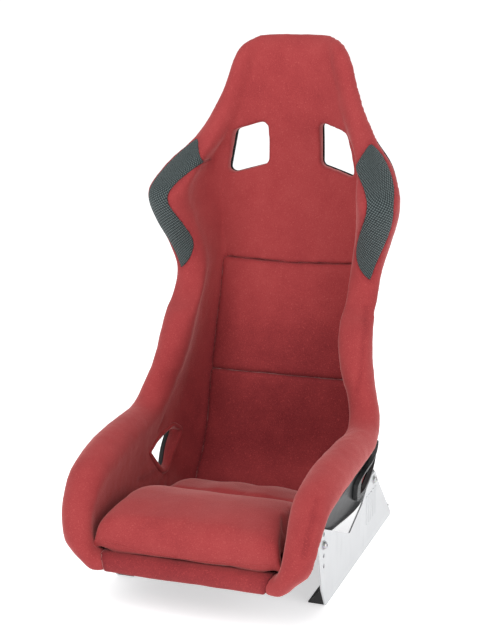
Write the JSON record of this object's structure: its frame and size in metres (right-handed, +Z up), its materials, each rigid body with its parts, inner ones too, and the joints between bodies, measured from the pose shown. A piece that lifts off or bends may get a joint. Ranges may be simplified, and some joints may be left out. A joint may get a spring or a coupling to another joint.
{
  "type": "fixed-back racing bucket seat on side brackets",
  "caption": "Fixed-back bucket seat: moulded shell, fabric bolsters and pads, loose thigh cushion, harness and lap belt openings, and plate side brackets on floor rails.",
  "frame": {"origin": "middle of the four floor bolt holes, on the floor", "axes": "+Z up; the sitter faces -Y; +X is right seen from the front"},
  "size_m": [0.5092, 0.6727, 0.9855],
  "materials": {
    "shell": "glossy black moulded fibre composite",
    "velour": "dark red short pile velour over foam",
    "mesh": "dark grey dotted mesh weave",
    "moulding": "black moulded edging",
    "bracket": "pale silver satin plate",
    "rail": "black painted steel angle",
    "fixings": "zinc plated"
  },
  "bodies": {
    "root": {"base_pad": "velour", "bolster_left": "velour", "bolster_right": "velour", "crotch_slot_trim": "moulding", "floor_rail_left": "rail", "floor_rail_right": "rail", "front_lip": "velour", "harness_slot_trim_left": "moulding", "harness_slot_trim_right": "moulding", "head_pad": "velour", "lap_belt_guide_left": "moulding", "lap_belt_guide_right": "moulding", "lower_back_pad": "velour", "middle_back_pad": "velour", "mount_bosses": "fixings", "rear_cushion": "velour", "seat_shell": "shell", "shoulder_mesh_left": "mesh", "shoulder_mesh_right": "mesh", "side_bolts": "fixings", "side_bracket_left": "bracket", "side_bracket_right": "bracket", "side_washers": "fixings", "thigh_cushion": "velour", "upper_back_pad": "velour"}
  },
  "joints": []
}
